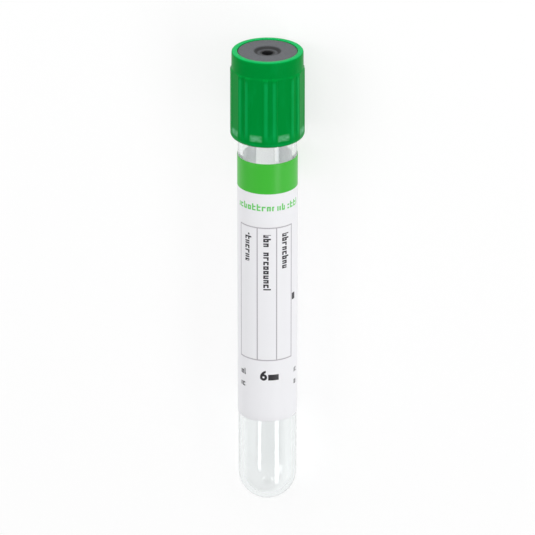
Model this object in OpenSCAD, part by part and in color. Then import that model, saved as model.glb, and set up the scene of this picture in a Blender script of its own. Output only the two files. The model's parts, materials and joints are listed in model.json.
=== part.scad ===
// Blood collection tube: a clear round-bottomed tube with a wrapped label, closed by a
// rubber stopper that is held in a fluted plastic safety cap.
//
// It lies on its side as it comes to rest, on one flat of the cap and on the round end
// of the tube, with +Z up and the cap towards +Y. The origin is on the surface that it
// lies on, under the middle of its length.
//
// Each piece is drawn upright first, with the tube's axis along Z, the outside of the
// round end at z = 0 and the front of the label facing -Y. lie_down() then lays it down.
// Sizes are in millimetres.

/* [Tube] */
// Outside diameter of the tube
tube_d = 13; // [10.5:0.1:18]
// Length of the tube from its round end to its mouth
tube_len = 100; // [75:1:125]
// Wall of the tube
tube_wall = 1; // [0.8:0.05:1.5]
// Rounding of the mouth's edges
mouth_round = 0.3; // [0.1:0.05:0.35]

/* [Cap] */
// Height of the cap
cap_h = 19.9; // [17:0.1:25]
// Height of the cap's top above the mouth of the tube
head_h = 7.9; // [6:0.1:9]
// Wall of the skirt at its foot
skirt_wall = 1.4; // [1:0.05:1.8]
// Inward lean of the skirt's outside, from its foot to its top
skirt_draft = 0.03; // [0:0.01:0.12]
// Room between the tube and the skirt
skirt_gap = 0.25; // [0.15:0.05:0.5]
// Height of the smooth collar at the top
collar_h = 3.7; // [2.5:0.1:4]
// Step from the collar out to the ribs
collar_step = 0.25; // [0.25:0.01:0.5]
// Inward lean of the collar's outside, from its foot to its top
collar_draft = 0.04; // [0:0.01:0.25]
// Rounding of the top rim's outer edge
rim_round = 0.35; // [0.1:0.05:0.45]
// Rounding of the skirt's lower edge
foot_round = 1; // [0.5:0.05:1]
// Height of the bead that holds the stopper's flange in the cap
bead_h = 0.6; // [0.4:0.1:1]

/* [Ribs and flutes] */
// Number of flutes around the skirt, with a pair of ribs between each two
flutes = 8; // [6:1:9]
// Width of a flute
flute_w = 3.1; // [2:0.1:3.4]
// Depth of a flute below the flat that it is cut in
flute_depth = 0.11; // [0.1:0.01:0.25]
// Depth of the flats below the ribs
flat_depth = 0.15; // [0.1:0.01:0.25]
// Width of the groove between the two ribs of a pair
groove_w = 1; // [0.5:0.05:1.2]
// Depth of that groove below the ribs
groove_depth = 0.2; // [0.1:0.01:0.35]
// Height above the skirt's lower edge at which flutes and grooves end
band_h = 1.3; // [1:0.1:2]
// Height of the ramp on which they run out
ramp_h = 1.8; // [1:0.1:3]

/* [Stopper] */
// How much wider the stopper's face is than the tube, on each side
face_over = 0; // [0:0.05:0.3]
// Depth of the face below the cap's top rim
face_drop = 0.12; // [0:0.02:0.4]
// How much wider the flange is than the tube, on each side
flange_over = 0.65; // [0.5:0.05:0.8]
// Thickness of the flange
flange_t = 2.6; // [1.5:0.1:2.8]
// Diameter of the dish around the needle well, at the face
dish_d = 6.1; // [5:0.1:7]
// Diameter of the dish's floor
dish_floor_d = 4.6; // [3.6:0.1:4.9]
// Depth of the dish
dish_depth = 0.9; // [0.4:0.1:1.2]
// Diameter of the needle well in the dish's floor
well_d = 2.4; // [1.5:0.1:3]
// Depth of the needle well below that floor
well_depth = 3; // [2:0.1:3.5]
// Length of the plug inside the tube
plug_len = 9.5; // [7:0.1:10]
// Depth of the hollow in the plug's lower end
hollow_depth = 8; // [4:0.1:8.5]
// Wall around that hollow
hollow_wall = 2.2; // [1.5:0.1:2.8]
// Inward lean of the hollow's wall, up to its closed end
hollow_lean = 1; // [0.2:0.1:1.2]
// Number of grooves around the plug
seals = 2; // [1:1:3]
// Depth of those grooves
seal_depth = 0.3; // [0.1:0.05:0.6]
// Width of those grooves
seal_w = 1; // [0.5:0.1:1.4]

/* [Label] */
// Thickness of the label
label_t = 0.14; // [0.06:0.01:0.2]
// Layer of glue between the label and the tube
glue_t = 0.02; // [0.01:0.01:0.04]
// Clear length of tube between the cap and the label
label_top_gap = 4.2; // [2:0.1:10]
// Clear length of tube between the label and the start of the round end
label_foot_gap = 15; // [5:0.5:25]
// Angle that the label covers around the tube
label_wrap = 315; // [280:1:340]

/* [Fits] */
// Room between the stopper's plug and the inside of the tube
plug_gap = 0.03; // [0.01:0.01:0.08]
// Room between the stopper and the cap that turns on it
turn_gap = 0.05; // [0.02:0.01:0.09]
// Gap between faces that seat on each other
seat_gap = 0.05; // [0.02:0.01:0.1]

/* [Hidden] */
$fn = 96;
past = 1; // how far a cutter runs past the face that it cuts
cap_lead = 0.1; // chamfer inside the skirt's lower edge
plug_lead = 0.5; // chamfer on the plug's end
window_round = 0.2; // rounding of the top rim's inner edge

tube_r = tube_d / 2;
bore_r = tube_r - tube_wall;
mouth_edge = min(mouth_round, 0.4 * tube_wall);

skirt_bore_r = tube_r + skirt_gap;
skirt_r = skirt_bore_r + skirt_wall;
skirt_top_r = skirt_r - skirt_draft;
flat_r = skirt_r - flat_depth;
collar_r = skirt_top_r - collar_step;
rim_r = collar_r - collar_draft;
cap_base_z = tube_len + head_h - cap_h;
mouth_z = cap_h - head_h; // height of the tube's mouth above the cap's lower edge

face_r = tube_r + face_over;
flange_r = tube_r + flange_over;
plug_r = bore_r - plug_gap;

label_r = tube_r + glue_t;
label_z = tube_r + label_foot_gap;
label_len = cap_base_z - label_top_gap - label_z;

// The cap's lowest point, with a flat of the skirt facing down: the middle of that
// flat's lower end, where the rounded foot cuts it.
foot_edge = min(foot_round, 0.85 * skirt_wall);
foot_centre_r = skirt_r - foot_edge;
rest_z = foot_edge - sqrt(foot_edge^2 - (flat_r - foot_centre_r)^2);

// Tilt of the axis with the cap's flat and the round end both on the surface.
rest_run = cap_base_z + rest_z - tube_r;
tilt = atan2(flat_r, rest_run) - asin(tube_r / norm([rest_run, flat_r]));

// Turn about the axis that puts a flat underneath, and the label's front beside the top.
roll = flutes % 2 == 0 ? 180 / flutes : 0;

// Ends of the whole tube along Y, for an origin under the middle.
low_y = tube_r * cos(tilt) - tube_r;
rim_centre = [rim_r - rim_round, tube_len + head_h - rim_round];
high_y = rim_centre[1] * cos(tilt) + rim_centre[0] * sin(tilt) + rim_round;

// Points of an arc about a centre, from one angle to another.
function arc(centre, r, from, to, steps = 6) =
    [for (i = [0:steps]) let (a = from + (to - from) * i / steps) centre + r * [cos(a), sin(a)]];

module lie_down()
    translate([0, -(low_y + high_y) / 2, tube_r - tube_r * sin(tilt)])
        rotate([tilt - 90, 0, 0])
            rotate([0, 0, roll])
                children();

// Clear tube: a cylinder with a hemispherical end and a rounded mouth.
module tube_section() {
    shoulder_z = tube_len - mouth_edge;
    difference() {
        union() {
            translate([0, tube_r])
                circle(tube_r);
            translate([0, tube_r])
                square([tube_r, shoulder_z - tube_r]);
            translate([bore_r + mouth_edge, shoulder_z])
                square([tube_wall - 2 * mouth_edge, mouth_edge]);
            for (r = [bore_r + mouth_edge, tube_r - mouth_edge])
                translate([r, shoulder_z])
                    circle(mouth_edge);
        }
        translate([0, tube_r])
            circle(bore_r);
        translate([0, tube_r])
            square([bore_r, tube_len]);
        translate([-2 * tube_r, -past])
            square([2 * tube_r, tube_len]);
    }
}

module tube()
    color([0.88, 0.92, 0.93, 0.35])
        lie_down()
            rotate_extrude()
                tube_section();

// Rubber stopper, drawn from the mouth of the tube: a hollow plug below it, and above
// it a flange that the cap holds and a face with the needle's well in its middle.
module stopper_section() {
    face_z = head_h - face_drop;
    flange_z = seat_gap;
    well_z = face_z - dish_depth - well_depth;
    hollow_r = plug_r - hollow_wall;
    difference() {
        polygon([
            [0, -plug_len], [plug_r - plug_lead, -plug_len], [plug_r, plug_lead - plug_len],
            [plug_r, flange_z], [flange_r, flange_z], [flange_r, flange_z + flange_t],
            [face_r, flange_z + flange_t], [face_r, face_z], [0, face_z]
        ]);
        for (i = [1:seals])
            translate([plug_r - seal_depth, -i * plug_len / (seals + 1) - seal_w / 2])
                square([seal_depth + past, seal_w]);
        translate([0, well_z])
            square([well_d / 2, head_h]);
        polygon([
            [0, face_z - dish_depth], [dish_floor_d / 2, face_z - dish_depth],
            [dish_d / 2, face_z], [dish_d / 2, head_h], [0, head_h]
        ]);
        polygon([
            [0, -plug_len - past], [hollow_r, -plug_len - past], [hollow_r, -plug_len],
            [hollow_r - hollow_lean, hollow_depth - plug_len], [0, hollow_depth - plug_len]
        ]);
    }
}

module stopper()
    color([0.42, 0.42, 0.45])
        lie_down()
            translate([0, 0, tube_len])
                rotate_extrude()
                    stopper_section();

// Plastic cap, drawn from its lower edge. Its section holds the skirt around the tube,
// the bead and the seat around the stopper's flange, and the collar around its face.
module cap_section() {
    bead_r = tube_r + min(skirt_gap, flange_over) / 2;
    bead_z = mouth_z - bead_h;
    seat_r = flange_r + turn_gap;
    seat_z = mouth_z + flange_t + 2 * seat_gap;
    window_r = face_r + turn_gap;
    step_z = cap_h - collar_h;
    polygon(concat(
        [[skirt_bore_r + cap_lead, 0]],
        arc([foot_centre_r, foot_edge], foot_edge, -90, 0),
        [[skirt_top_r, step_z - collar_step], [collar_r, step_z]],
        arc([rim_r - rim_round, cap_h - rim_round], rim_round, 0, 90),
        arc([window_r + window_round, cap_h - window_round], window_round, 90, 180),
        [[window_r, seat_z], [seat_r, seat_z], [seat_r, mouth_z], [bead_r, mouth_z]],
        [[bead_r, bead_z], [skirt_bore_r, bead_z - skirt_gap], [skirt_bore_r, cap_lead]]
    ));
}

// A channel down the skirt's outside, with its floor at a given radius. It faces -Y, is
// open at the collar and runs out on a ramp above the skirt's lower band.
module channel(floor_r, brink_r, width) {
    out_r = brink_r + past;
    rotate([90, 0, -90])
        linear_extrude(width, center = true)
            polygon([
                [floor_r, cap_h], [floor_r, band_h + ramp_h], [brink_r, band_h],
                [out_r, band_h], [out_r, cap_h]
            ]);
}

module cap()
    color([0, 0.57, 0.26])
        lie_down()
            translate([0, 0, cap_base_z])
                difference() {
                    intersection() {
                        rotate_extrude()
                            cap_section();
                        rotate(-90)
                            cylinder(r = flat_r / cos(180 / flutes), h = cap_h, $fn = flutes);
                    }
                    for (i = [0:flutes - 1])
                        rotate((i + 0.5) * 360 / flutes)
                            channel(flat_r - flute_depth, flat_r, flute_w);
                    for (i = [0:flutes - 1])
                        rotate(i * 360 / flutes)
                            channel(skirt_r - groove_depth, skirt_r, groove_w);
                }

// Label: a thin sheet wrapped around the tube, with a clear strip left at the back.
module label()
    color([0.93, 0.93, 0.94])
        lie_down()
            translate([0, 0, label_z])
                rotate(-90 - label_wrap / 2)
                    rotate_extrude(angle = label_wrap)
                        translate([label_r, 0])
                            square([label_t, label_len]);

tube();
stopper();
cap();
label();
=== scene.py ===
"""Blood collection tube: smooth surfaces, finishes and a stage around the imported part.

Every piece is worked out upright first: the tube's axis is Z, the outside of the round end is
at height 0, and the front of the label faces -Y. stand_in_row() then carries the points to
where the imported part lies. Lengths are in metres and angles in radians unless a name says so.
"""

import json
import math

import bmesh
import bpy
import numpy as np
from mathutils import Matrix, Vector


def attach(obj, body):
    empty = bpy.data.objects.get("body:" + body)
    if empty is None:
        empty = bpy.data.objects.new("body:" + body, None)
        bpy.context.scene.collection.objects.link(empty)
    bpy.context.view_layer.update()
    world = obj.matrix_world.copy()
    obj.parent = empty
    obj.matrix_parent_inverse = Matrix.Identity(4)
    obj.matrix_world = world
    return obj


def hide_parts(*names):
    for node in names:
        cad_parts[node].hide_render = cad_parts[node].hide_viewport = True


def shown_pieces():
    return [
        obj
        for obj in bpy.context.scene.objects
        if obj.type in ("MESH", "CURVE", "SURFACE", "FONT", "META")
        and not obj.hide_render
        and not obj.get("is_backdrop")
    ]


bl_info = {
    "name": "Blood collection tube",
    "version": (1, 0, 0),
    "blender": (4, 5, 0),
    "location": "3D View > Sidebar > Blood Tube",
    "description": "Builds a capped and labelled blood collection tube around its packed part",
    "category": "Object",
}

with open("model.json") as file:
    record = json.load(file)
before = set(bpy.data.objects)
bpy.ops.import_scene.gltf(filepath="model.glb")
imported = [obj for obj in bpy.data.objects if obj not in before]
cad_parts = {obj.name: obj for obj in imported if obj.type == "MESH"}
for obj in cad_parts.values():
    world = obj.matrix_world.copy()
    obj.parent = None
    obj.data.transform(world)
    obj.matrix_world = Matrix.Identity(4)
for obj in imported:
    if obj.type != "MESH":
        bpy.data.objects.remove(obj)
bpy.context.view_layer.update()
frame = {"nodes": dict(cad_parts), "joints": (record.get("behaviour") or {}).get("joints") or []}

MM = 0.001
DEGREE = math.pi / 180
FLOOR_REACH = 6.0  # half the floor's width
LONG_SENSOR = 36.0  # of the camera, in its own millimetres
LAMPS = (  # name, turn and height in degrees, distance, size across the tube and along it
    ("key", 58, -8, 0.9, (0.22, 1.2)),
    ("side", -45, 10, 1.0, (0.4, 0.8)),
    ("end", 10, 75, 0.9, (0.8, 0.4)),
)

# Places on the label in millimetres, to the right of the print's middle and down from its top.
NAME_WORDS = ((-2.95, 4.6), (3.25, 0.95), (6.62, 1.73))  # middle and half width of each word
CAPTIONS = (  # middle across, lower end, place of a space (0 for none), which signs
    (-4.7, 23.6, 0, 31),
    (-0.2, 30.1, 20.4, 0),
    (4.1, 25.2, 0, 67),
)
FILL_MARK_X = 6.9
SMALL_PRINT = ((-6.1, 0.85), (7.7, 0.5))  # middle and half width, beside the capacity figure
SMALL_LINES = ((51.0, 20), (53.9, 50))  # middle of each line, which signs


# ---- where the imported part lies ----


def corners_of(node):
    """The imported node's vertices as an array."""
    mesh = frame["nodes"][node].data
    flat = np.empty(len(mesh.vertices) * 3, np.float32)
    mesh.vertices.foreach_get("co", flat)
    return flat.reshape(-1, 3).astype(float)


def along_axis(node):
    """(lowest height, highest height, smallest radius, largest radius) of a node about the axis,
    with heights counted from the tube's mouth."""
    arm = corners_of(node) - MOUTH
    height = arm @ AXIS
    radius = np.linalg.norm(arm - np.outer(height, AXIS), axis=1)
    return height.min(), height.max(), radius.min(), radius.max()


TWIST = next(j for j in frame["joints"] if j["name"] == "cap_twist")
AXIS = np.array(TWIST["axis"], float) / np.linalg.norm(TWIST["axis"])
MOUTH = np.array(TWIST["pos_m"], float)
ACROSS = np.array([1.0, 0.0, 0.0])
RISE = np.cross(ACROSS, AXIS)

TUBE_LOW, _, _, TUBE_R = along_axis("tube")
CAP_LOW, CAP_HIGH, _, _ = along_axis("cap")
PLUG_LOW, FACE_HIGH, _, FLANGE_R = along_axis("stopper")
LABEL_LOW, LABEL_HIGH, LABEL_IN_R, LABEL_OUT_R = along_axis("label")
ROUND_END = MOUTH + AXIS * TUBE_LOW

LABEL_ARM = corners_of("label") - MOUTH
FRONT = math.atan2(LABEL_ARM.mean(0) @ ACROSS, LABEL_ARM.mean(0) @ RISE)
LABEL_TURNS = np.arctan2(LABEL_ARM @ ACROSS, LABEL_ARM @ RISE) - FRONT
LABEL_HALF = np.abs((LABEL_TURNS + math.pi) % (2 * math.pi) - math.pi).max()

# Columns are where the upright X, Y and Z point in the row frame.
STAND = np.column_stack(
    [
        ACROSS * math.cos(FRONT) - RISE * math.sin(FRONT),
        -ACROSS * math.sin(FRONT) - RISE * math.cos(FRONT),
        AXIS,
    ]
)


def stand_in_row(points):
    """Upright points carried to the row frame: the round end's place plus STAND times each."""
    return ROUND_END + points @ STAND.T


def above_round_end(height):
    """A height that counts from the mouth, counted from the round end."""
    return height - TUBE_LOW


def towards(turn, height):
    """Unit vector in the row frame: turn from straight up towards +X about the axis, then height
    towards the cap."""
    level = ACROSS * math.sin(turn) + RISE * math.cos(turn)
    return level * math.cos(height) + AXIS * math.sin(height)


# ---- sizes and colours that can be changed ----


def length(name, description, millimetres):
    """A length property."""
    return bpy.props.FloatProperty(
        name=name,
        description=description,
        default=millimetres * MM,
        min=0.0,
        precision=5,
        subtype="DISTANCE",
        unit="LENGTH",
    )


def angle(name, description, degrees):
    """An angle property."""
    return bpy.props.FloatProperty(
        name=name, description=description, default=degrees * DEGREE, subtype="ANGLE", unit="ROTATION"
    )


def share(name, description, default, largest=1.0):
    """A plain number from 0."""
    return bpy.props.FloatProperty(
        name=name, description=description, default=default, min=0.0, max=largest, subtype="FACTOR"
    )


def whole_number(name, description, default, least, most):
    """A whole number."""
    return bpy.props.IntProperty(name=name, description=description, default=default, min=least, max=most)


def lamp_power(name, description, watts):
    """A lamp's power."""
    return bpy.props.FloatProperty(
        name=name, description=description, default=watts, min=0.0, subtype="POWER", unit="POWER"
    )


def colour(name, description, *default):
    """A colour property, in linear red, green and blue."""
    return bpy.props.FloatVectorProperty(
        name=name, description=description, default=default, min=0.0, max=1.0, size=3, subtype="COLOR"
    )


class TubeSizes(bpy.types.PropertyGroup):
    """Sizes of the clear tube."""

    radius: length("Outside radius", "Outside radius of the tube", TUBE_R / MM)
    height: length("Length", "Length from the round end to the mouth", -TUBE_LOW / MM)
    wall: length("Wall", "Thickness of the wall", 1.0)
    mouth_round: length("Mouth rounding", "Rounding of the mouth's edges", 0.3)


class CapSizes(bpy.types.PropertyGroup):
    """Sizes of the safety cap."""

    radius: length("Radius", "Radius of the skirt's foot", 8.15)
    height: length("Height", "Height of the cap", (CAP_HIGH - CAP_LOW) / MM)
    skirt_bore: length("Skirt bore", "Radius inside the skirt", 6.75)
    skirt_draft: length("Skirt draft", "Inward lean of the skirt from foot to top", 0.03)
    collar_height: length("Collar", "Height of the smooth collar", 3.7)
    collar_step: length("Collar step", "Step from the skirt in to the collar", 0.25)
    shoulder: length("Shoulder", "Height of the slope up to the collar", 0.45)
    collar_draft: length("Collar draft", "Inward lean of the collar", 0.04)
    rim_round: length("Rim rounding", "Rounding of the top rim's outer edge", 0.35)
    window_round: length("Window rounding", "Rounding of the top rim's inner edge", 0.2)
    foot_round: length("Foot rounding", "Rounding of the skirt's lower edge", 1.0)
    window: length("Window", "Radius of the hole around the stopper's face", 6.55)
    seat: length("Seat", "Radius of the seat around the stopper's flange", 7.2)
    seat_height: length("Seat height", "Height of that seat", 2.7)
    bead: length("Bead", "Radius inside the bead under the seat", 6.625)
    bead_height: length("Bead height", "Height of that bead", 0.6)
    flutes: whole_number("Flutes", "Flutes around the skirt", 8, 3, 16)
    flat_radius: length("Flats", "Distance of the skirt's flats from the axis", 8.0)
    flute_width: length("Flute width", "Width of a flute", 3.1)
    flute_depth: length("Flute depth", "Depth of a flute below its flat", 0.11)
    groove_width: length("Groove width", "Width of the groove in a pair of ribs", 1.0)
    groove_depth: length("Groove depth", "Depth of that groove", 0.2)
    # The crest's pale green is a painted highlight along each rib.
    crest: length("Crest", "Width of a rib's pale crest beside the groove", 0.8)
    band_height: length("Band", "Height of the plain band below the flutes", 1.3)
    ramp_height: length("Ramp", "Height of the ramp on which the flutes run out", 1.8)
    edge: length("Edge softness", "Half the width over which a flute's edge turns", 0.09)


class StopperSizes(bpy.types.PropertyGroup):
    """Sizes of the rubber stopper."""

    face: length("Face", "Radius of the face", 6.5)
    flange: length("Flange", "Radius of the flange", FLANGE_R / MM)
    flange_base: length("Flange base", "Height of the flange above the mouth", 0.05)
    flange_height: length("Flange height", "Thickness of the flange", 2.6)
    dish: length("Dish", "Radius of the dish at the face", 3.15)
    dish_floor: length("Dish floor", "Radius of the dish's floor", 2.3)
    dish_depth: length("Dish depth", "Depth of the dish", 0.5)
    well: length("Needle well", "Radius of the needle well", 1.2)
    well_depth: length("Well depth", "Depth of the needle well", 3.4)
    plug: length("Plug", "Radius of the plug", 5.47)
    plug_lead: length("Plug lead", "Chamfer on the plug's end", 0.5)
    hollow: length("Hollow", "Radius of the hollow in the plug's end", 3.27)
    hollow_lean: length("Hollow lean", "Inward lean of that hollow", 1.0)
    hollow_depth: length("Hollow depth", "Depth of that hollow", 8.0)
    seals: whole_number("Seals", "Grooves around the plug", 2, 0, 4)
    seal_width: length("Seal groove width", "Width of those grooves", 1.0)
    seal_depth: length("Seal groove depth", "Depth of those grooves", 0.3)


class LabelSizes(bpy.types.PropertyGroup):
    """Sizes of the label and of what is printed on it. Heights count down from its top edge."""

    inside: length("Inside radius", "Radius of the label's back", LABEL_IN_R / MM)
    outside: length("Outside radius", "Radius of the label's front", LABEL_OUT_R / MM)
    wrap: angle("Wrap", "Angle that the label covers", 2 * LABEL_HALF / DEGREE)
    print_turn: angle("Print turn", "Turn of the print from the label's middle", -5.2)
    band: length("Band", "Height of the coloured band", 7.12)
    name_line: length("Name line", "Height of the middle of the small coloured line", 10.6)
    table_top: length("Table top", "Top of the writing table", 15.2)
    table_foot: length("Table foot", "Foot of the writing table", 47.2)
    table_half: length("Table half width", "Half the width of the writing table", 6.52)
    table_left: length("Table left", "Distance of the table's middle to the left of the print's", 0.38)
    column_half: length("Column half width", "Half the width of its middle column", 2.18)
    rule: length("Rule", "Half the width of a printed rule", 0.13)
    caption_top: length("Caption top", "Top of the captions in the table", 16.8)
    fill_mark: length("Fill mark", "Height of the middle of the fill mark", 32.75)
    figure: length("Figure", "Height of the middle of the capacity figure", 51.0)


class Colours(bpy.types.PropertyGroup):
    """Colours of the pieces."""

    cap: colour("Cap", "Green plastic of the cap", 0.0, 0.25, 0.035)
    # Painted light: this lighter green stands in for highlights on the rim and the ribs' crests and for a
    # glow through the thin lip; the flow marks also reach towards it.
    cap_thin: colour("Cap, thin", "Green plastic where an edge lets light in", 0.006, 0.42, 0.11)
    cap_shine: colour("Cap, shine", "Tint of the light that the cap mirrors", 0.12, 1.0, 0.5)
    # Painted highlight: this pale green stands in for light mirrored by the flutes' ramps.
    cap_scuff: colour("Cap, scuffed", "Green plastic where the ramps are scuffed", 0.22, 0.58, 0.36)
    rubber: colour("Rubber", "Grey rubber of the stopper", 0.092, 0.096, 0.106)
    rubber_dark: colour("Rubber, dark", "Darker grains in the rubber", 0.055, 0.057, 0.064)
    # Painted shade: this near-black stands in for the shade in the dish and the needle well.
    rubber_deep: colour("Rubber, deep", "Rubber in the dish's wall and the needle well", 0.006, 0.006, 0.007)
    clear: colour("Tube", "Tint of the clear tube where it is thick", 0.72, 0.80, 0.80)
    paper: colour("Label", "White of the label", 0.86, 0.86, 0.885)
    paper_back: colour("Label back", "Back of the label", 0.93, 0.93, 0.93)
    band: colour("Band", "Green of the label's band", 0.055, 0.49, 0.04)
    name_line: colour("Name line", "Green of the small printed line", 0.16, 0.62, 0.15)
    rule: colour("Rules", "Grey of the printed rules", 0.40, 0.37, 0.41)
    ink: colour("Ink", "Near-black ink", 0.035, 0.033, 0.038)
    floor: colour("Floor", "Light that the floor throws back", 0.798, 0.798, 0.798)


class StageSettings(bpy.types.PropertyGroup):
    """Camera and light."""

    camera_turn: angle("Camera turn", "Camera's turn about the tube, from straight up", 18.5)
    camera_height: angle("Camera height", "Camera's height towards the cap", 24.2)
    camera_distance: length("Camera distance", "From the camera to the tube", 1050.0)
    fill: share("Fill", "Share of the picture's height that the tube takes", 0.86)
    floor_glow: share("Floor glow", "How much of the floor's white the light doesn't change", 0.7)
    horizon: share("Horizon", "Brightness of the surroundings near the horizon", 1.0)
    sky_foot: share("Sky, foot", "Brightness of the surroundings beyond the round end", 0.15)
    sky_cap: share("Sky, cap", "Brightness of the surroundings beyond the cap", 0.9)
    key: lamp_power("Key", "Main lamp", 3.4)
    side: lamp_power("Side", "Lamp opposite it", 2.7)
    end: lamp_power("End", "Lamp beyond the cap", 4.0)


class BloodTube(bpy.types.PropertyGroup):
    """Everything that can be changed."""

    tube: bpy.props.PointerProperty(type=TubeSizes)
    cap: bpy.props.PointerProperty(type=CapSizes)
    stopper: bpy.props.PointerProperty(type=StopperSizes)
    label: bpy.props.PointerProperty(type=LabelSizes)
    colours: bpy.props.PointerProperty(type=Colours)
    stage: bpy.props.PointerProperty(type=StageSettings)


# ---- surfaces ----


def rounded_profile(corners):
    """Points (radius, height) of a path through corners (radius, height, rounding).

    At a corner where the path turns by an angle t, an arc of that rounding starts and ends
    rounding * tan(t / 2) from the corner, and a point at share s of it lies in the direction
    (sin((1 - s) t) * first + sin(s t) * last) / sin(t) from the arc's centre.
    """
    place = np.array(corners, float)[:, :2]
    parts = [place[:1]]
    for before, here, after, bend in zip(place, place[1:], place[2:], [c[2] for c in corners[1:]]):
        come = (here - before) / np.linalg.norm(here - before)
        go = (after - here) / np.linalg.norm(after - here)
        turn = math.acos(max(-1.0, min(1.0, come @ go)))
        if bend <= 0 or turn < 1e-6:
            parts.append(here[None])
            continue
        cut = bend * math.tan(turn / 2)
        middle = here + (go - come) / np.linalg.norm(go - come) * bend / math.cos(turn / 2)
        first, last = here - come * cut - middle, here + go * cut - middle
        s = np.linspace(0, 1, 5 + int(bend / (0.25 * MM)))[:, None]
        parts.append(middle + (np.sin((1 - s) * turn) * first + np.sin(s * turn) * last) / math.sin(turn))
    path = np.concatenate([*parts, place[-1:]])
    moved = np.linalg.norm(np.diff(path, axis=0), axis=1) > 1e-9
    return path[np.concatenate([[True], moved])]


def divided(path, longest):
    """The path with each side cut into equal steps, none longer than longest."""
    pieces = np.ceil(np.linalg.norm(np.diff(path, axis=0), axis=1) / longest).astype(int).clip(1)
    side = np.repeat(np.arange(len(pieces)), pieces)
    step = np.arange(len(side)) - np.repeat(np.cumsum(pieces) - pieces, pieces)
    at = np.append(side + step / np.repeat(pieces, pieces), len(pieces))
    return np.column_stack([np.interp(at, np.arange(len(path)), column) for column in path.T])


def crowded(low, high, count, spots, reach):
    """count values from low to high that lie close together near each spot: equal steps of the
    running sum of 1 + 5 / (1 + (distance / reach)^2)."""
    fine = np.linspace(low, high, 4001)
    weight = 1 + sum(5 / (1 + ((fine - spot) / reach) ** 2) for spot in spots)
    total = np.concatenate([[0], np.cumsum((weight[1:] + weight[:-1]) / 2)])
    return np.interp(np.linspace(0, total[-1], count), total, fine)


def held(x):
    """x held from 0 to 1."""
    return np.clip(x, 0, 1)


def soft_min(a, b, width):
    """The smaller of a and b, rounded where they are within width of each other:
    mix(b, a, h) - width h (1 - h), with h = 1/2 + (b - a) / (2 width) held from 0 to 1."""
    h = held(0.5 + (b - a) / (2 * width))
    return b + (a - b) * h - width * h * (1 - h)


def soft_step(x, width=0.06):
    """x held from 0 to 1, with its two bends rounded."""
    return soft_min(-soft_min(-x, 0.0, width), 1.0, width)


def rings(radius, height, turns):
    """Points at a radius, height and turn from the front: x = radius sin(turn),
    y = -radius cos(turn) and z = height."""
    return np.stack(np.broadcast_arrays(radius * np.sin(turns), -radius * np.cos(turns), height), -1)


def turned(profile, turns):
    """Rings of points of a turned shape, from the radius and height of each point of its profile."""
    return rings(profile[:, :1], profile[:, 1:], turns)


def even_turns(count):
    """count turns around the axis, evenly spaced."""
    return np.linspace(0, 2 * math.pi, count, endpoint=False)[None, :]


def shell_faces(count, around, joined):
    """Four-sided faces between neighbouring rings, which close on themselves. joined adds the
    faces from the last ring back to the first."""
    k, i = np.meshgrid(np.arange(count if joined else count - 1), np.arange(around), indexing="ij")
    ahead, above = (i + 1) % around, (k + 1) % count
    faces = [k * around + i, k * around + ahead, above * around + ahead, above * around + i]
    return np.stack(faces, -1).reshape(-1, 4)


def placed(name, data):
    """A new object in the scene."""
    thing = bpy.data.objects.new(name, data)
    bpy.context.scene.collection.objects.link(thing)
    return thing


def new_piece(name, points, faces, body, node, finishes, uv=None, finish_of_face=None, marks=None):
    """A smooth mesh object from upright points, in place on its body, standing for a CAD node."""
    mesh = bpy.data.meshes.new(name)
    mesh.from_pydata(stand_in_row(points.reshape(-1, 3)).tolist(), [], faces.tolist())
    if uv is not None:
        corner = np.empty(len(mesh.loops), np.int32)
        mesh.loops.foreach_get("vertex_index", corner)
        layer = mesh.uv_layers.new(name="wrap")
        layer.uv.foreach_set("vector", uv.reshape(-1, 2)[corner].astype(np.float32).ravel())
    for mark, values in (marks or {}).items():
        layer = mesh.attributes.new(mark, "FLOAT", "POINT")
        layer.data.foreach_set("value", values.astype(np.float32).ravel())
    for finish in finishes:
        mesh.materials.append(finish)
    if finish_of_face is not None:
        mesh.polygons.foreach_set("material_index", finish_of_face.astype(np.int32))
    work = bmesh.new()
    work.from_mesh(mesh)
    bmesh.ops.remove_doubles(work, verts=work.verts[:], dist=1e-7)
    for face in work.faces:
        face.smooth = True
    work.to_mesh(mesh)
    work.free()
    piece = placed(name, mesh)
    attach(piece, body)
    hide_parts(node)


# ---- finishes ----


class Level:
    """One output socket of a node. Arithmetic on it adds Math nodes."""

    def __init__(self, recipe, socket):
        self.recipe, self.socket = recipe, socket

    def math(self, operation, *values, hold=False):
        sockets = dict(enumerate(values))
        return self.recipe.add("ShaderNodeMath", sockets, operation=operation, use_clamp=hold)

    def __add__(self, other):
        return self.math("ADD", self, other)

    def __sub__(self, other):
        return self.math("SUBTRACT", self, other)

    def __rsub__(self, other):
        return self.math("SUBTRACT", other, self)

    def __mul__(self, other):
        return self.math("MULTIPLY", self, other)

    def __truediv__(self, other):
        return self.math("DIVIDE", self, other)

    def __gt__(self, other):
        return self.math("GREATER_THAN", self, other)

    def __lt__(self, other):
        return self.math("LESS_THAN", self, other)

    def __abs__(self):
        return self.math("ABSOLUTE", self)

    __radd__ = __add__
    __rmul__ = __mul__

    def floor(self):
        return self.math("FLOOR", self)

    def power(self, exponent):
        return self.math("POWER", self, exponent)

    def sine(self):
        return self.math("SINE", self)

    def most(self, other):
        """The larger of the two."""
        return self.math("MAXIMUM", self, other)

    def near(self, centre, half):
        """1 within half of centre, and 0 beyond."""
        return self.math("COMPARE", self, centre, half)

    def rise(self, low, high):
        """From 0 at low to 1 at high, held beyond them."""
        return self.math("MULTIPLY_ADD", self, 1 / (high - low), -low / (high - low), hold=True)


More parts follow.
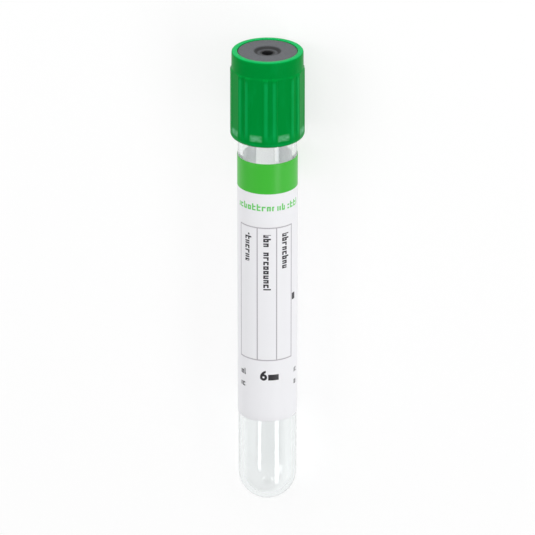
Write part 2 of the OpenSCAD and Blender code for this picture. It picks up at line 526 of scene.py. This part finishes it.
class Recipe:
    """The nodes of a material or world."""

    def __init__(self, tree):
        self.tree = tree
        tree.nodes.clear()

    def add(self, kind, sockets=None, out=0, **settings):
        """A node with these settings, and then these values or links in its sockets. Returns the
        output of that number, or nothing from a node that ends the recipe."""
        node = self.tree.nodes.new(kind)
        for name, value in settings.items():
            setattr(node, name, value)
        for name, value in (sockets or {}).items():
            if isinstance(value, Level):
                self.tree.links.new(value.socket, node.inputs[name])
            else:
                node.inputs[name].default_value = value
        return Level(self, node.outputs[out]) if node.outputs else None

    def mixed(self, factor, a, b):
        """Colour a, going to colour b as factor goes from 0 to 1."""
        a, b = (v if isinstance(v, Level) else (*v, 1) for v in (a, b))
        return self.add("ShaderNodeMix", {0: factor, 6: a, 7: b}, out=2, data_type="RGBA")

    def upright(self):
        """The place on the surface in the upright frame, in millimetres."""
        here = self.add("ShaderNodeTexCoord", out=3)
        turn = Matrix(STAND.tolist()).to_euler()
        sockets = {"Vector": here, "Location": tuple(ROUND_END), "Rotation": turn, "Scale": (MM, MM, MM)}
        return self.add("ShaderNodeMapping", sockets, vector_type="TEXTURE")

    def stretched(self, place, *scale):
        """A place with its X, Y and Z multiplied."""
        return self.add("ShaderNodeVectorMath", {0: place, 1: scale}, operation="MULTIPLY")

    def noise(self, place, scale, detail=2.0, roughness=0.5):
        """Soft noise about 0.5, with scale bumps for each unit of place."""
        sockets = {"Vector": place, "Scale": scale, "Detail": detail, "Roughness": roughness}
        return self.add("ShaderNodeTexNoise", sockets)

    def luck(self, number):
        """White noise from 0 to 1, the same wherever the number is the same."""
        return self.add("ShaderNodeTexWhiteNoise", {"W": number}, noise_dimensions="1D")

    def parts(self, place):
        """X, Y and Z of a place."""
        node = self.add("ShaderNodeSeparateXYZ", {"Vector": place}).socket.node
        return [Level(self, socket) for socket in node.outputs]

    def bump(self, height, distance):
        """A normal for a height map of 0 to 1, whose full height is distance."""
        return self.add("ShaderNodeBump", {"Height": height, "Distance": distance})

    def mark(self, name):
        """A number that the mesh carries at each of its points."""
        return self.add("ShaderNodeAttribute", out=2, attribute_name=name)

    def light_path(self, name):
        """One of the light path's questions."""
        node = self.add("ShaderNodeLightPath").socket.node
        return Level(self, node.outputs[name])

    def lets_light_by(self, shader, part):
        """The shader, which lamps shine through: part of their light, from 0 to 1, goes on."""
        clear = self.add("ShaderNodeBsdfTransparent", {"Color": (part, part, part, 1)})
        return self.add("ShaderNodeMixShader", {0: self.light_path("Is Shadow Ray"), 1: shader, 2: clear})

    def finish(self, shader, kind="ShaderNodeOutputMaterial", **others):
        """Ends the recipe with its output."""
        self.add(kind, {"Surface": shader, **others})


def away(x, y, middle_x, middle_y):
    """The distance of (x, y) from a middle."""
    x, y = x - middle_x, y - middle_y
    return (x * x + y * y).power(0.5)


def new_recipe(name):
    """A new material and its recipe."""
    material = bpy.data.materials.new(name)
    material.use_nodes = True
    return material, Recipe(material.node_tree)


def green_plastic(colours):
    """Satin moulded plastic: faint flow marks and draw lines along the axis, a fine grain, a lighter green
    on the lip, the rim and the ribs' crests that is painted light (painted highlights on the rim and the
    crests, a painted glow through the thin lip), and paler dashes on the flutes' ramps that are painted
    highlights. The marks crest and ramp on the mesh say where those two are."""
    material, r = new_recipe("green_plastic")
    place = r.upright()
    height = r.parts(place)[2]
    base, top = above_round_end(CAP_LOW) / MM, above_round_end(CAP_HIGH) / MM
    # lip, rim and crest place painted light: painted highlights on the rim and the crests, a painted glow
    # through the thin lip
    lip = 1 - height.rise(base, base + 1.2)
    rim = height.rise(top - 0.16, top - 0.03)
    flow = r.noise(r.stretched(place, 1, 1, 0.35), 0.45, 3.0)
    lines = r.noise(r.stretched(place, 6, 6, 0.25), 1.0, 2.0)
    grain = r.noise(place, 14.0, 3.0, 0.6)
    crest = r.mark("crest") * 0.45
    flow_and_painted_light = (lip * 0.6).most(rim * 0.8).most(crest) + (flow - 0.5) * 0.5
    shade = r.mixed(flow_and_painted_light.most(0.0), colours.cap, colours.cap_thin)
    # Painted highlight on the flutes' ramps, broken into dashes.
    dashes = r.noise(r.stretched(place, 1.0, 1.0, 1.7), 1.0, 1.0)
    shade = r.mixed(r.mark("ramp") * dashes.rise(0.1, 0.75) * 0.6, shade, colours.cap_scuff)
    rough = 0.2 + 0.12 * lines + 0.08 * grain
    sockets = {
        "Base Color": shade,
        "Roughness": rough,
        "Normal": r.bump(grain * 0.5 + lines * 0.5, 0.006 * MM),
        "Specular IOR Level": 0.03,
        "Specular Tint": (*colours.cap_shine, 1),
    }
    r.finish(r.add("ShaderNodeBsdfPrincipled", sockets))
    return material


def grey_rubber(colours, stopper):
    """Matt rubber: a fine speckle of darker grains, shallow pits and faint turned rings. The walls of the
    dish and the needle well are darkened by painted shade, and the dish's floor part way."""
    material, r = new_recipe("grey_rubber")
    place = r.upright()
    x, y, height = r.parts(place)
    radius = away(x, y, 0, 0)
    speckle = r.noise(place, 3.5, 4.0, 0.7)
    cloud = r.noise(place, 0.5, 2.0)
    grains = speckle.rise(0.42, 0.66) * 0.5 + cloud * 0.25
    shade = r.mixed(grains, colours.rubber, colours.rubber_dark)
    face = above_round_end(FACE_HIGH) / MM
    # Painted shade: the dish's wall and the needle well go nearly black, and the dish's floor part way.
    low = (1 - height.rise(face - 0.2, face - 0.03)) * (height > face - 6)
    well = 1 - radius.rise(stopper.well / MM + 0.25, stopper.well / MM + 0.8)
    slope = radius.rise(stopper.dish_floor / MM - 0.2, stopper.dish_floor / MM + 0.1)
    dish_shade = low * (radius < stopper.dish / MM + 0.05) * well.most(slope * 0.5 + 0.45)
    shade = r.mixed(dish_shade, shade, colours.rubber_deep)
    circles = (radius * 22).sine()
    sockets = {
        "Base Color": shade,
        "Roughness": 0.5 + 0.25 * speckle,
        "Normal": r.bump(speckle + circles * 0.04, 0.02 * MM),
        "Specular IOR Level": 0.4,
    }
    r.finish(r.add("ShaderNodeBsdfPrincipled", sockets))
    return material


def clear_plastic(colours):
    """Clear plastic that bends light and is faintly grey where it is seen edge on, with faint draw
    streaks. Lamps shine through it."""
    material, r = new_recipe("clear_plastic")
    place = r.upright()
    streaks = r.noise(r.stretched(place, 1.2, 1.2, 0.04), 1.0, 3.0)
    sockets = {
        "Base Color": (1, 1, 1, 1),
        "Roughness": 0.05 * streaks,
        "Normal": r.bump(streaks, 0.01 * MM),
        "IOR": 1.57,
        "Transmission Weight": 1.0,
    }
    shader = r.lets_light_by(r.add("ShaderNodeBsdfPrincipled", sockets), 0.98)
    tint = r.add("ShaderNodeVolumeAbsorption", {"Color": (*colours.clear, 1), "Density": 150.0})
    r.finish(shader, Volume=tint)
    return material


def letters(r, along, across, pitch, tall):
    """A row of letter-like signs that spell nothing.

    along runs in the reading direction, and across upwards from the middle of the small letters.
    Each cell of the pitch has a left stem, and a right stem, a head bar and a foot bar that come
    and go with white noise on the cell's number. Some left stems are taller.
    """
    cell = (along / pitch).floor()
    inside = along / pitch - cell
    luck, other = r.luck(cell + 0.5), r.luck(cell + 77.5)
    small = abs(across) < 0.33 * tall
    stem_top = 0.34 * tall + (luck > 0.7) * (0.3 * tall)
    stem = inside.near(0.24, 0.16) * (across > -0.34 * tall) * (across < stem_top)
    right = inside.near(0.7, 0.16) * small * (other > 0.3)
    head = across.near(0.24 * tall, 0.11 * tall) * inside.near(0.48, 0.38) * (other < 0.75)
    foot = across.near(-0.24 * tall, 0.11 * tall) * inside.near(0.48, 0.38) * (luck > 0.4)
    return stem.most(right).most(head).most(foot)


def near_one(x, spots):
    """1 where x lies in one of the spots, each a middle and half a width."""
    inside = 0
    for middle, half in spots:
        inside = x.near(middle, half).most(inside)
    return inside


def figure_and_bar(x, y):
    """A plain 6 and a bar for its unit, about (0, 0) with y downwards. The bowl of the 6 is a
    ring, and its tail is part of a larger ring with its middle to the right of the bowl's."""
    stroke = 0.28  # half the width of a stroke
    bowl_x, bowl_radius = -0.75, 0.52
    tail_x, tail_radius = 0.15, 1.42
    middle_y = 0.35
    bowl = away(x, y, bowl_x, middle_y).near(bowl_radius, stroke)
    tail = away(x, y, tail_x, middle_y).near(tail_radius, stroke) * (x < -0.25) * (y < middle_y)
    bar = x.near(1.5, 1.2) * y.near(0.4, 0.7)
    return bowl.most(tail).most(bar)


def table_rules(x, y, label):
    """The rules of the writing table: its four sides, and the sides of its middle column."""
    top, foot = label.table_top / MM, label.table_foot / MM
    side, column, rule = label.table_half / MM, label.column_half / MM, label.rule / MM
    middle_y, half_y = (top + foot) / 2, (foot - top) / 2
    from_table = x + label.table_left / MM
    uprights = abs(x).near(column, rule).most(abs(from_table).near(side, rule))
    levels = abs(y - middle_y).near(half_y, rule)
    return (uprights * y.near(middle_y, half_y + rule)).most(levels * from_table.near(0.0, side + rule))


def table_captions(r, x, y, top):
    """A row of signs at the head of each column, read downwards from top."""
    ink = 0
    for middle, end, gap, shift in CAPTIONS:
        row = letters(r, y + shift, x - middle, 1.1, 1.7) * x.near(middle, 1.1)
        row = row * y.near((top + end) / 2, (end - top) / 2) * (1 - y.near(gap, 0.5))
        ink = row.most(ink)
    return ink


def printed_label(colours, label):
    """White film with plain print: a bare band, a line of signs, a table of three columns with a
    row of signs at the head of each, a fill mark and a capacity figure. The map gives the place:
    x to the right of the print's middle and y down from the label's top, in millimetres."""
    material, r = new_recipe("label_print")
    u, v, _ = r.parts(r.add("ShaderNodeUVMap", uv_map="wrap"))
    width = label.outside * label.wrap / MM
    tall = (LABEL_HIGH - LABEL_LOW) / MM
    x = (u - 0.5) * width - label.print_turn * label.outside / MM
    y = (1 - v) * tall

    band = y < label.band / MM
    line_y = label.name_line / MM
    name_line = letters(r, x + 40, line_y - y, 1.14, 1.6) * y.near(line_y, 1.1) * near_one(x, NAME_WORDS)

    ink = x.near(FILL_MARK_X, 0.52) * y.near(label.fill_mark / MM, 0.8)
    ink = ink.most(table_captions(r, x, y, label.caption_top / MM))
    beside = near_one(x, SMALL_PRINT)
    for line_y, shift in SMALL_LINES:
        ink = ink.most(letters(r, x + shift, line_y - y, 0.95, 1.5) * beside)
    ink = ink.most(figure_and_bar(x, y - label.figure / MM))

    place = r.upright()
    film = r.noise(place, 0.7, 3.0)
    shade = r.mixed(film * 0.06, colours.paper, (0.7, 0.69, 0.72))
    shade = r.mixed(table_rules(x, y, label) * 0.9, shade, colours.rule)
    shade = r.mixed(name_line, shade, colours.name_line)
    shade = r.mixed(band, shade, colours.band)
    shade = r.mixed(ink, shade, colours.ink)
    fibres = r.noise(place, 5.0, 3.0, 0.6)
    sockets = {
        "Base Color": shade,
        "Roughness": 0.34 + 0.14 * fibres - 0.06 * band.most(ink),
        "Normal": r.bump(fibres + film, 0.006 * MM),
        "Specular IOR Level": 0.3,
    }
    r.finish(r.lets_light_by(r.add("ShaderNodeBsdfPrincipled", sockets), 0.75))
    return material


def label_back(colours):
    """The label's back: plain white film behind its glue, with a soft mottle."""
    material, r = new_recipe("label_back")
    mottle = r.noise(r.upright(), 1.4, 3.0)
    shade = r.mixed(mottle * 0.25, colours.paper_back, (0.75, 0.74, 0.73))
    sockets = {"Base Color": shade, "Roughness": 0.45 + 0.2 * mottle}
    r.finish(r.lets_light_by(r.add("ShaderNodeBsdfPrincipled", sockets), 1.0))
    return material


# ---- pieces ----


def settings_of(context):
    """The scene's settings of the tube."""
    return context.scene.blood_tube


class AddTube(bpy.types.Operator):
    """Clear tube with a hemispherical end and a rounded mouth, as one closed wall."""

    bl_idname = "blood_tube.add_tube"
    bl_label = "Clear tube"

    def execute(self, context):
        sizes, colours = settings_of(context).tube, settings_of(context).colours
        outside, inside, top = sizes.radius, sizes.radius - sizes.wall, sizes.height
        if inside <= 0:
            raise ValueError("the tube's wall is thicker than its radius")
        profile = rounded_profile(
            [
                (0, 0, 0),
                (outside, 0, outside),
                (outside, top, sizes.mouth_round),
                (inside, top, sizes.mouth_round),
                (inside, sizes.wall, inside),
                (0, sizes.wall, 0),
            ]
        )
        points = turned(divided(profile, 4 * MM), even_turns(192))
        faces = shell_faces(*points.shape[:2], joined=False)
        new_piece("clear_tube", points, faces, "tube_body", "tube", [clear_plastic(colours)])
        return {"FINISHED"}


def stopper_outline(sizes):
    """The stopper's outline, from the top of the hollow in its plug around to the foot of the
    needle well, in heights from the tube's mouth."""
    seam = sizes.flange_base
    hollow_top = PLUG_LOW + sizes.hollow_depth
    dish_floor = FACE_HIGH - sizes.dish_depth
    seals = []
    for seal in range(sizes.seals, 0, -1):
        middle = PLUG_LOW * seal / (sizes.seals + 1)
        low, high = middle - sizes.seal_width / 2, middle + sizes.seal_width / 2
        deep = sizes.plug - sizes.seal_depth
        seals += [(sizes.plug, low), (deep, low), (deep, high), (sizes.plug, high)]
    corners = [
        (0, hollow_top, 0),
        (sizes.hollow - sizes.hollow_lean, hollow_top, 0.4 * MM),
        (sizes.hollow, PLUG_LOW, 0.15 * MM),
        (sizes.plug - sizes.plug_lead, PLUG_LOW, 0.1 * MM),
        (sizes.plug, PLUG_LOW + sizes.plug_lead, 0.1 * MM),
        *[(radius, height, 0.08 * MM) for radius, height in seals],
        (sizes.plug, seam, 0.05 * MM),
        (sizes.flange, seam, 0.1 * MM),
        (sizes.flange, seam + sizes.flange_height, 0.1 * MM),
        (sizes.face, seam + sizes.flange_height, 0.05 * MM),
        (sizes.face, FACE_HIGH, 0.22 * MM),
        (sizes.dish, FACE_HIGH, 0.15 * MM),
        (sizes.dish_floor, dish_floor, 0.18 * MM),
        (sizes.well, dish_floor, 0.12 * MM),
        (sizes.well, dish_floor - sizes.well_depth, 0.25 * MM),
        (0, dish_floor - sizes.well_depth, 0),
    ]
    return divided(rounded_profile(corners), 0.6 * MM)


class AddStopper(bpy.types.Operator):
    """Rubber stopper: a hollow plug with seal grooves, a flange, and a face with a dish and a
    needle well."""

    bl_idname = "blood_tube.add_stopper"
    bl_label = "Rubber stopper"

    def execute(self, context):
        sizes, colours = settings_of(context).stopper, settings_of(context).colours
        profile = stopper_outline(sizes)
        profile[:, 1] += above_round_end(0)
        points = turned(profile, even_turns(160))
        faces = shell_faces(*points.shape[:2], joined=False)
        finish = grey_rubber(colours, sizes)
        new_piece("rubber_stopper", points, faces, "stopper_body", "stopper", [finish])
        return {"FINISHED"}


def from_rib_and_flute(turns, cap):
    """How far each turn is from the middle of the nearest pair of ribs, and of the nearest flute."""
    pitch = 2 * math.pi / cap.flutes
    from_rib = np.abs((turns + pitch / 2) % pitch - pitch / 2)
    return from_rib, pitch / 2 - from_rib


def fluted_radius(radius, height, turns, cap):
    """The cap's outside radius once flats, flutes and grooves are cut into it.

    A flat at distance f from the axis has the radius f / cos(angle from its middle). A flute's
    floor lies flute_depth below its flat, and a groove's floor groove_depth below the skirt, each
    times how far the ramp has run: (height - band) / ramp, held from 0 to 1.
    """
    from_rib, from_flute = from_rib_and_flute(turns, cap)
    run = soft_step((height - cap.band_height) / cap.ramp_height)
    cut = soft_min(radius, cap.flat_radius / np.cos(from_flute), 0.05 * MM)
    for off, half, floor in (
        (from_flute, cap.flute_width / 2, cap.flat_radius - cap.flute_depth * run),
        (from_rib, cap.groove_width / 2, cap.radius - cap.groove_depth * run),
    ):
        within = held(0.5 + (half - np.abs(cut * np.sin(off))) / (2 * cap.edge))
        within = within * within * (3 - 2 * within)
        cut = cut + within * (np.minimum(cut, floor / np.cos(off)) - cut)
    return cut


def cap_outline(cap):
    """The cap's closed outline in heights from its foot: up the outside, over the rim, and down
    past the stopper's seat and the bead under it. Its points lie closest where the flutes run out."""
    step = cap.height - cap.collar_height
    skirt_top = cap.radius - cap.skirt_draft
    collar = skirt_top - cap.collar_step
    mouth = -CAP_LOW  # of the tube
    lead = 0.1 * MM  # chamfer inside the foot
    ramp_end = 1.15 * (cap.band_height + cap.ramp_height)  # a little above the ramps
    corners = [
        (cap.skirt_bore + lead, 0, 0),
        (cap.radius, 0, cap.foot_round),
        (cap.radius, ramp_end, 0),
        (skirt_top, step - cap.shoulder, 0.12 * MM),
        (collar, step, 0.15 * MM),
        (collar - cap.collar_draft, cap.height, cap.rim_round),
        (cap.window, cap.height, cap.window_round),
        (cap.window, mouth + cap.seat_height, 0.05 * MM),
        (cap.seat, mouth + cap.seat_height, 0.05 * MM),
        (cap.seat, mouth, 0.05 * MM),
        (cap.bead, mouth, 0.05 * MM),
        (cap.bead, mouth - cap.bead_height, 0.1 * MM),
        (cap.skirt_bore, mouth - cap.bead_height - 0.25 * MM, 0.1 * MM),
        (cap.skirt_bore, lead, 0.03 * MM),
        (cap.skirt_bore + lead, 0, 0),
    ]
    path = rounded_profile(corners)[:-1]
    split = np.argmax(path[:, 1] > ramp_end + 0.01 * MM)
    return np.concatenate([divided(path[:split], 0.16 * MM)[:-1], divided(path[split - 1 :], 0.9 * MM)])


def cap_turns(cap):
    """Turns around the cap, closest together at the edges of its grooves, flutes and flats."""
    pitch = 2 * math.pi / cap.flutes
    edges = [
        cap.groove_width / 2 / cap.radius,
        pitch / 2 - cap.flute_width / 2 / cap.flat_radius,
        pitch / 2 - math.acos(cap.flat_radius / cap.radius),
    ]
    edges += [-edge for edge in edges]
    sector = crowded(-pitch / 2, pitch / 2, 65, edges, 0.8 * DEGREE)[:-1]
    return (np.arange(cap.flutes)[:, None] * pitch + sector).reshape(1, -1)


def cap_marks(path, turns, radius, cap):
    """Marks from 0 to 1 at each point: ramp on the flutes' ramps, and crest on the ribs' crests,
    both fading towards their edges and both on the outside only."""
    height = path[:, 1:]
    from_rib, from_flute = from_rib_and_flute(turns, cap)
    outside = np.arange(len(path))[:, None] < np.argmax(path[:, 1])
    run = (height - cap.band_height) / cap.ramp_height
    in_flute = held((cap.flute_width / 2 - radius * np.sin(from_flute)) / (0.5 * MM))
    ramp = held(run / 0.25) * held((1 - run) / 0.3) * in_flute * outside
    below_collar = cap.height - cap.collar_height - cap.shoulder - height
    off_crest = np.abs(radius * from_rib - cap.groove_width / 2 - cap.crest / 2)
    crest = held(1.4 - off_crest / (cap.crest / 2)) * held(run) * held(below_collar / (0.4 * MM)) * outside
    return {"ramp": ramp, "crest": crest}


class AddCap(bpy.types.Operator):
    """Fluted safety cap: a smooth collar, pairs of ribs between flutes that run out on ramps above
    a plain band, and inside it the bead and seat that hold the stopper."""

    bl_idname = "blood_tube.add_cap"
    bl_label = "Safety cap"

    def execute(self, context):
        cap, colours = settings_of(context).cap, settings_of(context).colours
        path, turns = cap_outline(cap), cap_turns(cap)
        radius = fluted_radius(path[:, :1], path[:, 1:], turns, cap)
        points = rings(radius, path[:, 1:] + above_round_end(CAP_LOW), turns)
        faces = shell_faces(*points.shape[:2], joined=True)
        finish, marks = green_plastic(colours), cap_marks(path, turns, radius, cap)
        new_piece("safety_cap", points, faces, "cap_body", "cap", [finish], marks=marks)
        return {"FINISHED"}


def eased(first, last, edge, count):
    """count even values from first to last, with those of the rounded edge at each end."""
    inner = np.linspace(first + edge[-1] * 1.3, last - edge[-1] * 1.3, count)
    return np.concatenate([first + edge, inner, last - edge[::-1]])


def wrapped_sheet(label):
    """Points and map of the label's front and back. At a gap g from an edge, the sheet has the
    share sqrt(1 - (1 - g / h)^2) of its half thickness h, so its edges are half circles."""
    half_thick = (label.outside - label.inside) / 2
    middle = label.inside + half_thick
    low, high = above_round_end(LABEL_LOW), above_round_end(LABEL_HIGH)
    bend = half_thick * (1 - np.cos(np.linspace(0, math.pi / 2, 6)))[:-1]
    turns = eased(-label.wrap / 2, label.wrap / 2, bend / middle, 180)[None, :]
    heights = eased(low, high, bend, 40)[:, None]
    thick = half_thick
    for gap in (middle * (label.wrap / 2 - np.abs(turns)), np.minimum(heights - low, high - heights)):
        thick = thick * np.sqrt(1 - (1 - held(gap / half_thick)) ** 2)
    points = np.stack([rings(middle + thick, heights, turns), rings(middle - thick, heights, turns)])
    wrap = np.stack(np.broadcast_arrays(turns / label.wrap + 0.5, (heights - low) / (high - low)), -1)
    return points, np.stack([wrap, wrap])


class AddLabel(bpy.types.Operator):
    """Label: a thin sheet wrapped around the tube, with rounded edges and plain print."""

    bl_idname = "blood_tube.add_label"
    bl_label = "Label"

    def execute(self, context):
        label, colours = settings_of(context).label, settings_of(context).colours
        points, wrap = wrapped_sheet(label)
        _, count, around, _ = points.shape
        k, i = np.meshgrid(np.arange(count - 1), np.arange(around - 1), indexing="ij")
        cell = k * around + i
        front = np.stack([cell, cell + 1, cell + around + 1, cell + around], -1).reshape(-1, 4)
        new_piece(
            "wrapped_label",
            points,
            np.concatenate([front, front[:, ::-1] + count * around]),
            "tube_body",
            "label",
            [printed_label(colours, label), label_back(colours)],
            uv=wrap,
            finish_of_face=np.repeat([0, 1], len(front)),
        )
        return {"FINISHED"}


# ---- stage ----


def add_lamp(name, turn, height, distance, size, watts, target):
    """A soft rectangular lamp that faces the target, seen from it at a turn and height. size is
    across the tube, then along it."""
    data = bpy.data.lights.new(name, "AREA")
    data.shape = "RECTANGLE"
    data.size, data.size_y = size
    data.energy = watts
    lamp = placed(name, data)
    back = Vector(towards(turn, height))
    along = Vector(AXIS) - back * back.dot(Vector(AXIS))
    along.normalize()
    basis = Matrix([along.cross(back), along, back]).transposed()
    lamp.matrix_world = Matrix.Translation(Vector(target) + back * distance) @ basis.to_4x4()
    lamp.visible_camera = False


def add_camera(stage):
    """A camera that looks along the given angles and holds the whole tube, cap uppermost. Returns
    the place that it looks at, which each pass moves towards the middle of the picture."""
    points = np.concatenate(
        [np.array([v.co for v in o.data.vertices], float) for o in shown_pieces() if o.type == "MESH"]
    )
    back = towards(stage.camera_turn, stage.camera_height)
    up = AXIS - back * (back @ AXIS)
    up /= np.linalg.norm(up)
    right = np.cross(up, back)
    target = points.mean(0)
    for _ in range(6):
        arm = points - target
        depth = stage.camera_distance - arm @ back
        sides = [arm @ right / depth, arm @ up / depth]
        middle = [(side.max() + side.min()) / 2 for side in sides]
        target = target + (right * middle[0] + up * middle[1]) * stage.camera_distance
    half = max((side.max() - side.min()) / 2 for side in sides) / stage.fill
    data = bpy.data.cameras.new("camera")
    data.lens = LONG_SENSOR / 2 / half
    data.sensor_width = LONG_SENSOR
    camera = placed("camera", data)
    basis = Matrix([tuple(right), tuple(up), tuple(back)]).transposed()
    camera.matrix_world = Matrix.Translation(target + back * stage.camera_distance) @ basis.to_4x4()
    data.clip_start, data.clip_end = 0.01, 50
    bpy.context.scene.camera = camera
    return target


def add_floor(colours, stage):
    """A wide pale floor. What looks at it directly, or by a mirror or through glass, sees its
    white made up by a steady glow, and the rest follows the light, so the shadow stays."""
    mesh = bpy.data.meshes.new("floor")
    reach = FLOOR_REACH
    corners = [(-reach, -reach, 0), (reach, -reach, 0), (reach, reach, 0), (-reach, reach, 0)]
    mesh.from_pydata(corners, [], [(0, 1, 2, 3)])
    floor = placed("floor", mesh)
    material, r = new_recipe("pale_floor")
    plain = r.add("ShaderNodeBsdfDiffuse", {"Color": (*colours.floor, 1)})
    lit = 1 - stage.floor_glow
    lit_part = r.add("ShaderNodeBsdfDiffuse", {"Color": (lit, lit, lit, 1)})
    glow = r.add("ShaderNodeEmission", {"Color": (1, 1, 1, 1), "Strength": stage.floor_glow})
    seen = r.add("ShaderNodeAddShader", {0: lit_part, 1: glow})
    looks = r.light_path("Is Camera Ray").most(r.light_path("Is Glossy Ray"))
    looks = looks.most(r.light_path("Is Transmission Ray"))
    r.finish(r.add("ShaderNodeMixShader", {0: looks, 1: plain, 2: seen}))
    mesh.materials.append(material)
    floor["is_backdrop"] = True


def add_surroundings(stage):
    """Plain light all round: white near the horizon, and above it paler beyond the cap than
    beyond the round end."""
    world = bpy.data.worlds.new("surroundings")
    world.use_nodes = True
    bpy.context.scene.world = world
    r = Recipe(world.node_tree)
    _, along, height = r.parts(r.add("ShaderNodeTexCoord"))
    sky = stage.sky_foot + (stage.sky_cap - stage.sky_foot) * along.rise(-0.6, 0.7)
    fall = height.rise(0.08, 0.25)
    level = fall * (sky - stage.horizon) + stage.horizon
    background = r.add("ShaderNodeBackground", {"Color": (1, 1, 1, 1), "Strength": level})
    r.finish(background, "ShaderNodeOutputWorld")


class AddStage(bpy.types.Operator):
    """Pale floor, soft lamps, plain surroundings and the camera."""

    bl_idname = "blood_tube.add_stage"
    bl_label = "Stage"

    def execute(self, context):
        stage, colours = settings_of(context).stage, settings_of(context).colours
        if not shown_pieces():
            raise RuntimeError("make the pieces before the stage, because the camera is set by them")
        target = add_camera(stage)
        add_floor(colours, stage)
        add_surroundings(stage)
        for name, turn, height, distance, size in LAMPS:
            watts = getattr(stage, name)
            add_lamp(name + "_lamp", turn * DEGREE, height * DEGREE, distance, size, watts, target)
        context.scene.view_settings.view_transform = "Standard"
        return {"FINISHED"}


class BloodTubePanel(bpy.types.Panel):
    """Lists the tube's pieces and their sizes."""

    bl_idname = "VIEW3D_PT_blood_tube"
    bl_label = "Blood Tube"
    bl_space_type = "VIEW_3D"
    bl_region_type = "UI"
    bl_category = "Blood Tube"

    def draw(self, context):
        column = self.layout.column()
        for step in STEPS:
            column.operator(step.bl_idname)
        for part in BloodTube.__annotations__:
            group = getattr(settings_of(context), part)
            box = self.layout.box()
            for name in group.__annotations__:
                box.prop(group, name)


STEPS = (AddTube, AddStopper, AddCap, AddLabel, AddStage)
SETTINGS = (TubeSizes, CapSizes, StopperSizes, LabelSizes, Colours, StageSettings, BloodTube)
CLASSES = (*SETTINGS, *STEPS, BloodTubePanel)


def register():
    """Registers the classes and the scene's settings."""
    for cls in CLASSES:
        bpy.utils.register_class(cls)
    bpy.types.Scene.blood_tube = bpy.props.PointerProperty(type=BloodTube)


def unregister():
    """Undoes register()."""
    del bpy.types.Scene.blood_tube
    for cls in reversed(CLASSES):
        bpy.utils.unregister_class(cls)


def main():
    """Makes every piece and the stage in order."""
    register()
    bpy.ops.blood_tube.add_tube()
    bpy.ops.blood_tube.add_stopper()
    bpy.ops.blood_tube.add_cap()
    bpy.ops.blood_tube.add_label()
    bpy.ops.blood_tube.add_stage()


if __name__ == "__main__":
    main()
